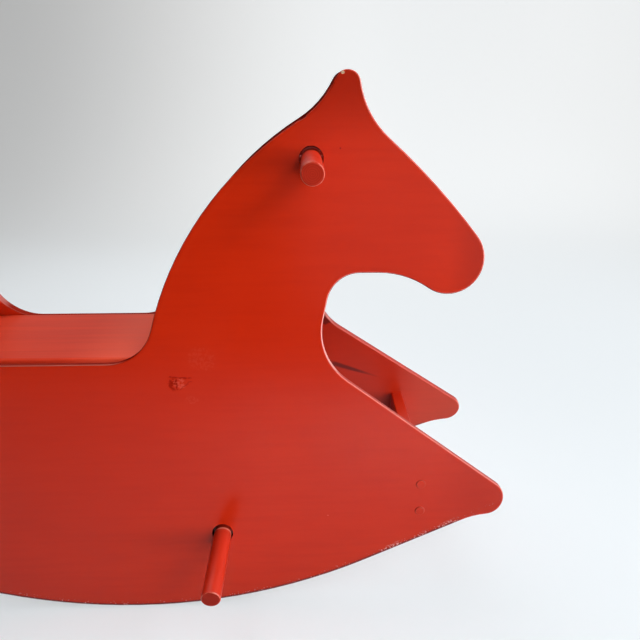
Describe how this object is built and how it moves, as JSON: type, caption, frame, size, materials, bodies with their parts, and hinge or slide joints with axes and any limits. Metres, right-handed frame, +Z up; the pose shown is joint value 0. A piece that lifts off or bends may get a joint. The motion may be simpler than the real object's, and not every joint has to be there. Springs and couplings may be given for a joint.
{
  "type": "rocking horse",
  "caption": "Painted plywood rocking horse: leaning horse-shaped sides with curved rockers, a seat board, crossbars, and loose turning dowels for the handle and the foot rest.",
  "frame": {"origin": "on the floor under the middle of the horse, midway between the rocker tips", "axes": "+X forward towards the nose, +Y to the rider's left along the dowels, +Z up"},
  "size_m": [0.86, 0.382, 0.5809],
  "materials": {
    "panel_paint": "semi-gloss red paint on plywood, rubbed at the edges",
    "seat_paint": "semi-gloss red paint on board, with fine scratches along its length",
    "cleat_paint": "thin red paint on a softwood batten",
    "bar_paint": "semi-gloss red paint on solid wood",
    "dowel_paint": "glossy red paint on a turned dowel, worn where it turns",
    "plug_paint": "red paint over wooden plugs",
    "pin_paint": "red paint over steel pins",
    "steel": "plain zinc-plated steel"
  },
  "bodies": {
    "frame": {"right_side_panel": "panel_paint", "left_side_panel": "panel_paint", "seat_board": "seat_paint", "right_seat_cleat": "cleat_paint", "left_seat_cleat": "cleat_paint", "front_crossbar": "bar_paint", "rear_crossbar": "bar_paint", "front_crossbar_screws": "steel", "rear_crossbar_screws": "steel", "right_screw_plugs": "plug_paint", "left_screw_plugs": "plug_paint", "right_cleat_screws": "steel", "left_cleat_screws": "steel", "right_seat_screws": "steel", "left_seat_screws": "steel"},
    "handle": {"handle_dowel": "dowel_paint", "handle_pins": "pin_paint"},
    "footrest": {"footrest_dowel": "dowel_paint", "footrest_pins": "pin_paint"}
  },
  "joints": [
    {"name": "handle_turn", "type": "hinge", "parent": "frame", "child": "handle", "pos_m": [0.213, 0, 0.50049], "axis": [0, 1, 0], "continuous": true},
    {"name": "footrest_turn", "type": "hinge", "parent": "frame", "child": "footrest", "pos_m": [0.108, 0, 0.0945], "axis": [0, 1, 0], "continuous": true}
  ]
}
